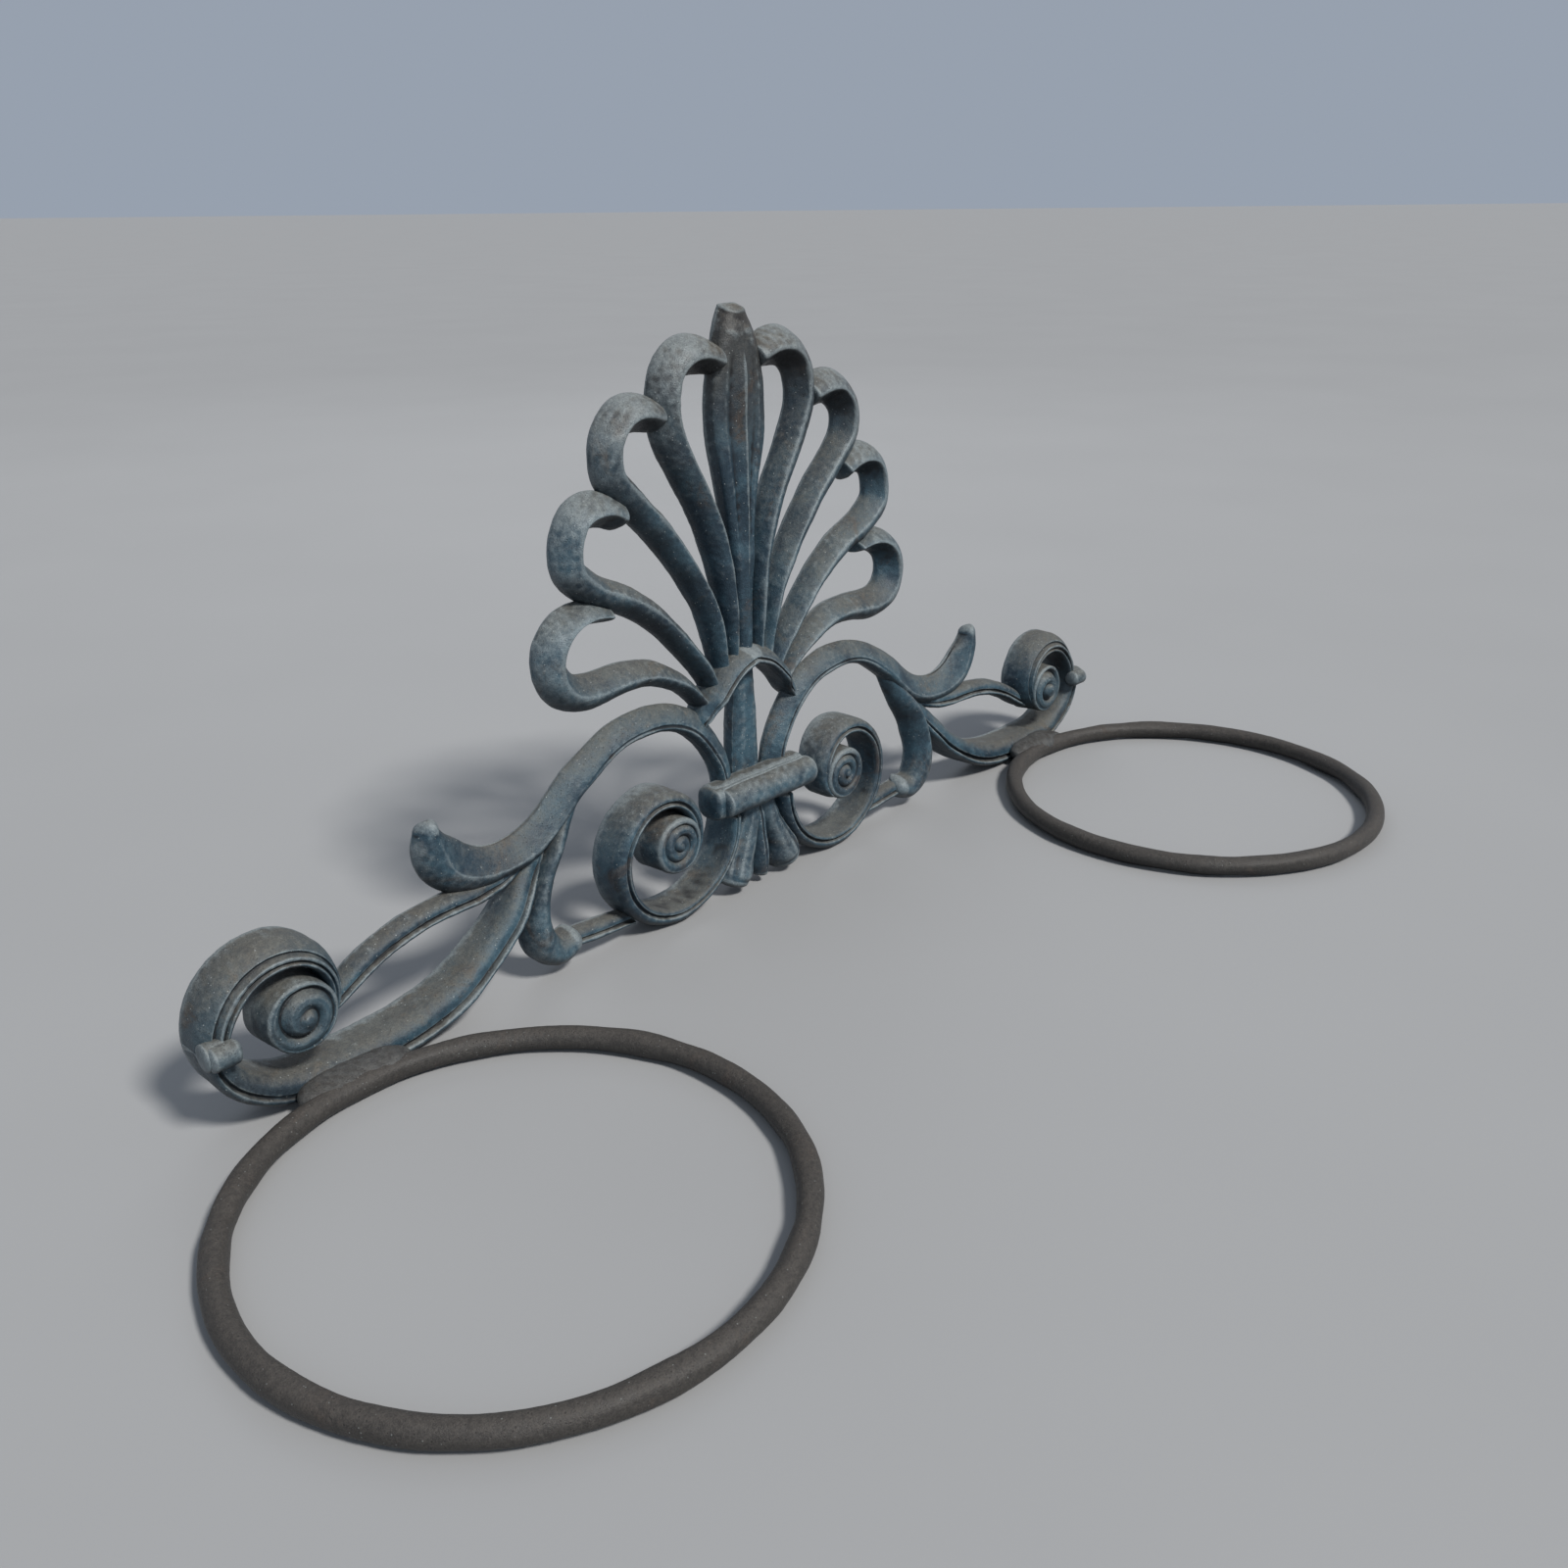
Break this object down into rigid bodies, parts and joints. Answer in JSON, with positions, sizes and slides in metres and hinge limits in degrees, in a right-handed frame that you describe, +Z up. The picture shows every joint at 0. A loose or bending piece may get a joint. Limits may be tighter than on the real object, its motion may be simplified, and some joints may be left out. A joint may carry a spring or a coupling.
{
  "type": "towel rack",
  "caption": "Cast-iron towel rack: palmette back panel with scrolled arms, a horizontal towel ring welded to each arm.",
  "frame": {"origin": "centre of the footprint, on the plane the rings and volutes rest on", "axes": "+Z up, +X along the panel to the viewer's right, +Y towards the wall, rings reach out towards -Y"},
  "size_m": [0.826, 0.28, 0.3331],
  "materials": {
    "panel_iron": "weathered, blue-green patina with brown rust dust",
    "ring_iron": "dark hand-worn iron bar with light rust",
    "weld_iron": "rough weld bead"
  },
  "bodies": {
    "root": {"palmette_arch": "panel_iron", "palmette_center_leaf": "panel_iron", "center_stem": "panel_iron", "collar_bar": "panel_iron", "pendant_center": "panel_iron", "palmette_leaf_left_1": "panel_iron", "palmette_leaf_right_1": "panel_iron", "palmette_leaf_left_2": "panel_iron", "palmette_leaf_right_2": "panel_iron", "palmette_leaf_left_3": "panel_iron", "palmette_leaf_right_3": "panel_iron", "palmette_leaf_left_4": "panel_iron", "palmette_leaf_right_4": "panel_iron", "volute_left": "panel_iron", "volute_right": "panel_iron", "volute_boss_left": "panel_iron", "volute_boss_right": "panel_iron", "arch_leaf_left": "panel_iron", "arch_leaf_right": "panel_iron", "drop_leaf_left": "panel_iron", "drop_leaf_right": "panel_iron", "tie_bar_left": "panel_iron", "tie_bar_right": "panel_iron", "lower_rail_left": "panel_iron", "lower_rail_right": "panel_iron", "end_scroll_left": "panel_iron", "end_scroll_right": "panel_iron", "end_boss_left": "panel_iron", "end_boss_right": "panel_iron", "end_collar_left": "panel_iron", "end_collar_right": "panel_iron", "upper_branch_left": "panel_iron", "upper_branch_right": "panel_iron", "pendant_left": "panel_iron", "pendant_right": "panel_iron", "ring_left": "ring_iron", "ring_right": "ring_iron", "ring_weld_left": "weld_iron", "ring_weld_right": "weld_iron"}
  },
  "joints": []
}
